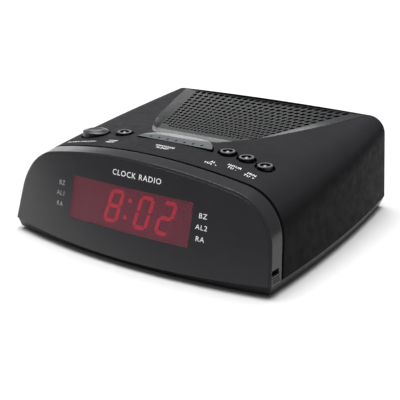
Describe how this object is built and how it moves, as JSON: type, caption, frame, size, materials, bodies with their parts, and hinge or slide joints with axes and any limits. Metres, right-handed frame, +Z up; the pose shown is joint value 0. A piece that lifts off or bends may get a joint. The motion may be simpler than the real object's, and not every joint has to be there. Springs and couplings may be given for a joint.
{
  "type": "clock radio",
  "caption": "Bedside clock radio with a bowed front lens, red number display, push buttons, snooze bar, top speaker grille and a battery door below.",
  "frame": {"origin": "on the table, under the middle of the radio's overall box", "axes": "+X to the right seen from the front, +Y to the rear, +Z up"},
  "size_m": [0.1446, 0.1349, 0.0487],
  "materials": {
    "cabinet_plastic": "fine-textured charcoal black",
    "base_plastic": "textured black",
    "grille_plastic": "satin dark grey",
    "bezel_plastic": "glossy smoked grey",
    "lens_plastic": "glossy smoked black",
    "window_plastic": "translucent dark red",
    "mask_plastic": "flat black",
    "button_plastic": "silver grey",
    "alarm_button_plastic": "dark grey",
    "snooze_plastic": "satin silver grey",
    "switch_plastic": "black",
    "plunger_plastic": "off-white",
    "foot_rubber": "black",
    "screw_steel": "zinc plated",
    "label_foil": "plain silver foil",
    "gland_rubber": "black",
    "board_laminate": "brown laminate",
    "display_plastic": "near black",
    "lit_red": "lit red",
    "unlit_red": "unlit dull red",
    "lamp_plastic": "dull red",
    "can_steel": "tinned",
    "capacitor_sleeve": "dark blue sleeve",
    "magnet_ferrite": "dark grey ferrite",
    "copper_wire": "enamelled copper",
    "cone_paper": "black paper",
    "gasket_foam": "dark grey foam",
    "terminal_board": "brown laminate",
    "core_steel": "laminated steel",
    "bobbin_plastic": "white nylon",
    "snap_plastic": "black with metal snaps",
    "socket_plastic": "ivory",
    "ribbon_insulation": "grey",
    "lead_insulation": "red"
  },
  "bodies": {
    "radio": {"upper_cabinet": "cabinet_plastic", "lower_cabinet": "base_plastic", "front_bezel": "bezel_plastic", "front_lens": "lens_plastic", "display_window": "window_plastic", "display_mask": "mask_plastic", "speaker_grille": "grille_plastic", "switch_housings": "switch_plastic", "rubber_feet": "foot_rubber", "case_screws": "screw_steel", "board_screws": "screw_steel", "rating_plate": "label_foil", "cord_gland": "gland_rubber", "antenna_gland": "gland_rubber", "main_board": "board_laminate", "key_board": "board_laminate", "display_board": "board_laminate", "led_display": "display_plastic", "lit_segments": "lit_red", "unlit_segments": "unlit_red", "indicator_lamps": "lamp_plastic", "clock_chip": "switch_plastic", "tuner_chip": "switch_plastic", "tuning_cans": "can_steel", "capacitors": "capacitor_sleeve", "speaker_basket": "can_steel", "speaker_magnet": "magnet_ferrite", "voice_coil": "copper_wire", "speaker_cone": "cone_paper", "speaker_dust_cap": "cone_paper", "speaker_gasket": "gasket_foam", "speaker_terminals": "terminal_board", "transformer_core": "core_steel", "transformer_bobbin": "bobbin_plastic", "transformer_winding": "copper_wire", "transformer_strap": "can_steel", "transformer_screws": "screw_steel", "ferrite_rod": "magnet_ferrite", "antenna_coil": "copper_wire", "battery_snap": "snap_plastic", "board_sockets": "socket_plastic", "key_ribbon": "ribbon_insulation", "display_ribbon": "ribbon_insulation", "speaker_leads": "lead_insulation", "transformer_leads": "lead_insulation", "antenna_leads": "lead_insulation", "battery_leads": "lead_insulation"},
    "time_button": {"time_button": "button_plastic", "time_plunger": "plunger_plastic"},
    "alarm_set_button": {"alarm_set_button": "button_plastic", "alarm_set_plunger": "plunger_plastic"},
    "hour_button": {"hour_button": "button_plastic", "hour_plunger": "plunger_plastic"},
    "minute_button": {"minute_button": "button_plastic", "minute_plunger": "plunger_plastic"},
    "alarm_button": {"alarm_button": "alarm_button_plastic", "alarm_plunger": "plunger_plastic"},
    "snooze_bar": {"snooze_bar": "snooze_plastic", "snooze_plunger": "plunger_plastic"},
    "battery_door": {"battery_door": "base_plastic"}
  },
  "joints": [
    {"name": "time_press", "type": "slide", "parent": "radio", "child": "time_button", "axis": [0, 0, -1], "range_m": [0, 0.0006], "stiffness_N_per_m": 2500},
    {"name": "alarm_set_press", "type": "slide", "parent": "radio", "child": "alarm_set_button", "axis": [0, 0, -1], "range_m": [0, 0.0006], "stiffness_N_per_m": 2500},
    {"name": "hour_press", "type": "slide", "parent": "radio", "child": "hour_button", "axis": [0, 0, -1], "range_m": [0, 0.0006], "stiffness_N_per_m": 2500},
    {"name": "minute_press", "type": "slide", "parent": "radio", "child": "minute_button", "axis": [0, 0, -1], "range_m": [0, 0.0006], "stiffness_N_per_m": 2500},
    {"name": "alarm_press", "type": "slide", "parent": "radio", "child": "alarm_button", "axis": [0, 0, -1], "range_m": [0, 0.0006], "stiffness_N_per_m": 2500},
    {"name": "snooze_press", "type": "slide", "parent": "radio", "child": "snooze_bar", "axis": [0, 0, -1], "range_m": [0, 0.0008], "stiffness_N_per_m": 2500},
    {"name": "battery_door_hinge", "type": "hinge", "parent": "radio", "child": "battery_door", "pos_m": [0.04, 0.0475, 0.002], "axis": [1, 0, 0], "range_deg": [0, 85]}
  ]
}
